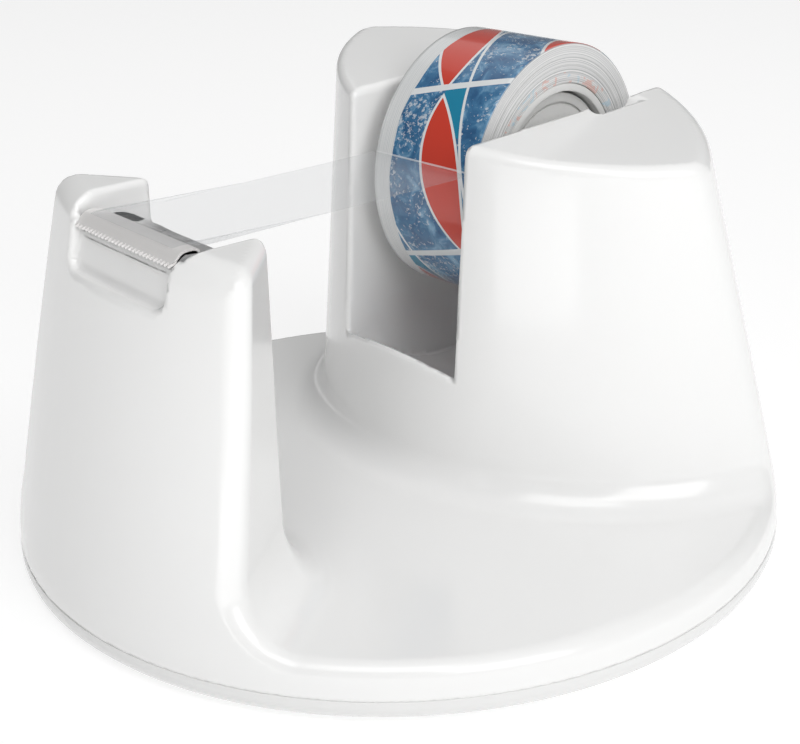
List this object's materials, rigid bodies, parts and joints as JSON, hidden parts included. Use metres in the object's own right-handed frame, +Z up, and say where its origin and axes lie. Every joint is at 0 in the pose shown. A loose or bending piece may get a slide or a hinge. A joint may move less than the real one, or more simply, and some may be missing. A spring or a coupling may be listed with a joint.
{
  "type": "tape dispenser",
  "caption": "Round weighted desk tape dispenser: blade post, roll slot between two cheeks, and a roll of printed tape on a lift-out hub.",
  "frame": {"origin": "middle of the footprint, on the surface that the dispenser stands on", "axes": "+Z up; the blade end faces -Y; the roll turns about an axis along X; looking from the blade end, +X is to the right"},
  "size_m": [0.1124, 0.118, 0.0708],
  "materials": {
    "white_gloss": "high-gloss white moulded ABS",
    "white_base": "glossy white moulded ABS base plate",
    "ballast_steel": "blacked steel plate",
    "pad_rubber": "fine-textured anti-slip rubber sheet",
    "screw_steel": "zinc-plated",
    "blade_steel": "bright stamped strip, fine-toothed edge",
    "clear_tape": "clear single layer of polypropylene tape",
    "white_satin": "satin white moulded plastic",
    "core_plastic": "white plastic core ring",
    "printed_tape": null
  },
  "bodies": {
    "dispenser": {"housing": "white_gloss", "base_plate": "white_base", "ballast_plate": "ballast_steel", "grip_pad": "pad_rubber", "base_screw_front": "screw_steel", "base_screw_left": "screw_steel", "base_screw_right": "screw_steel", "base_screw_back": "screw_steel", "cutter_blade": "blade_steel", "tape_web": "clear_tape"},
    "lift_out": {"spindle": "white_satin"},
    "roll": {"hub_drum": "white_satin", "hub_cap": "white_satin", "tape_core": "core_plastic", "tape_winding": "printed_tape"}
  },
  "joints": [
    {"name": "roll_lift", "type": "slide", "parent": "dispenser", "child": "lift_out", "axis": [0, 0.6018, 0.7986], "range_m": [0, 0.03]},
    {"name": "roll_spin", "type": "hinge", "parent": "lift_out", "child": "roll", "pos_m": [0, 0.0219, 0.051], "axis": [1, 0, 0], "continuous": true}
  ]
}
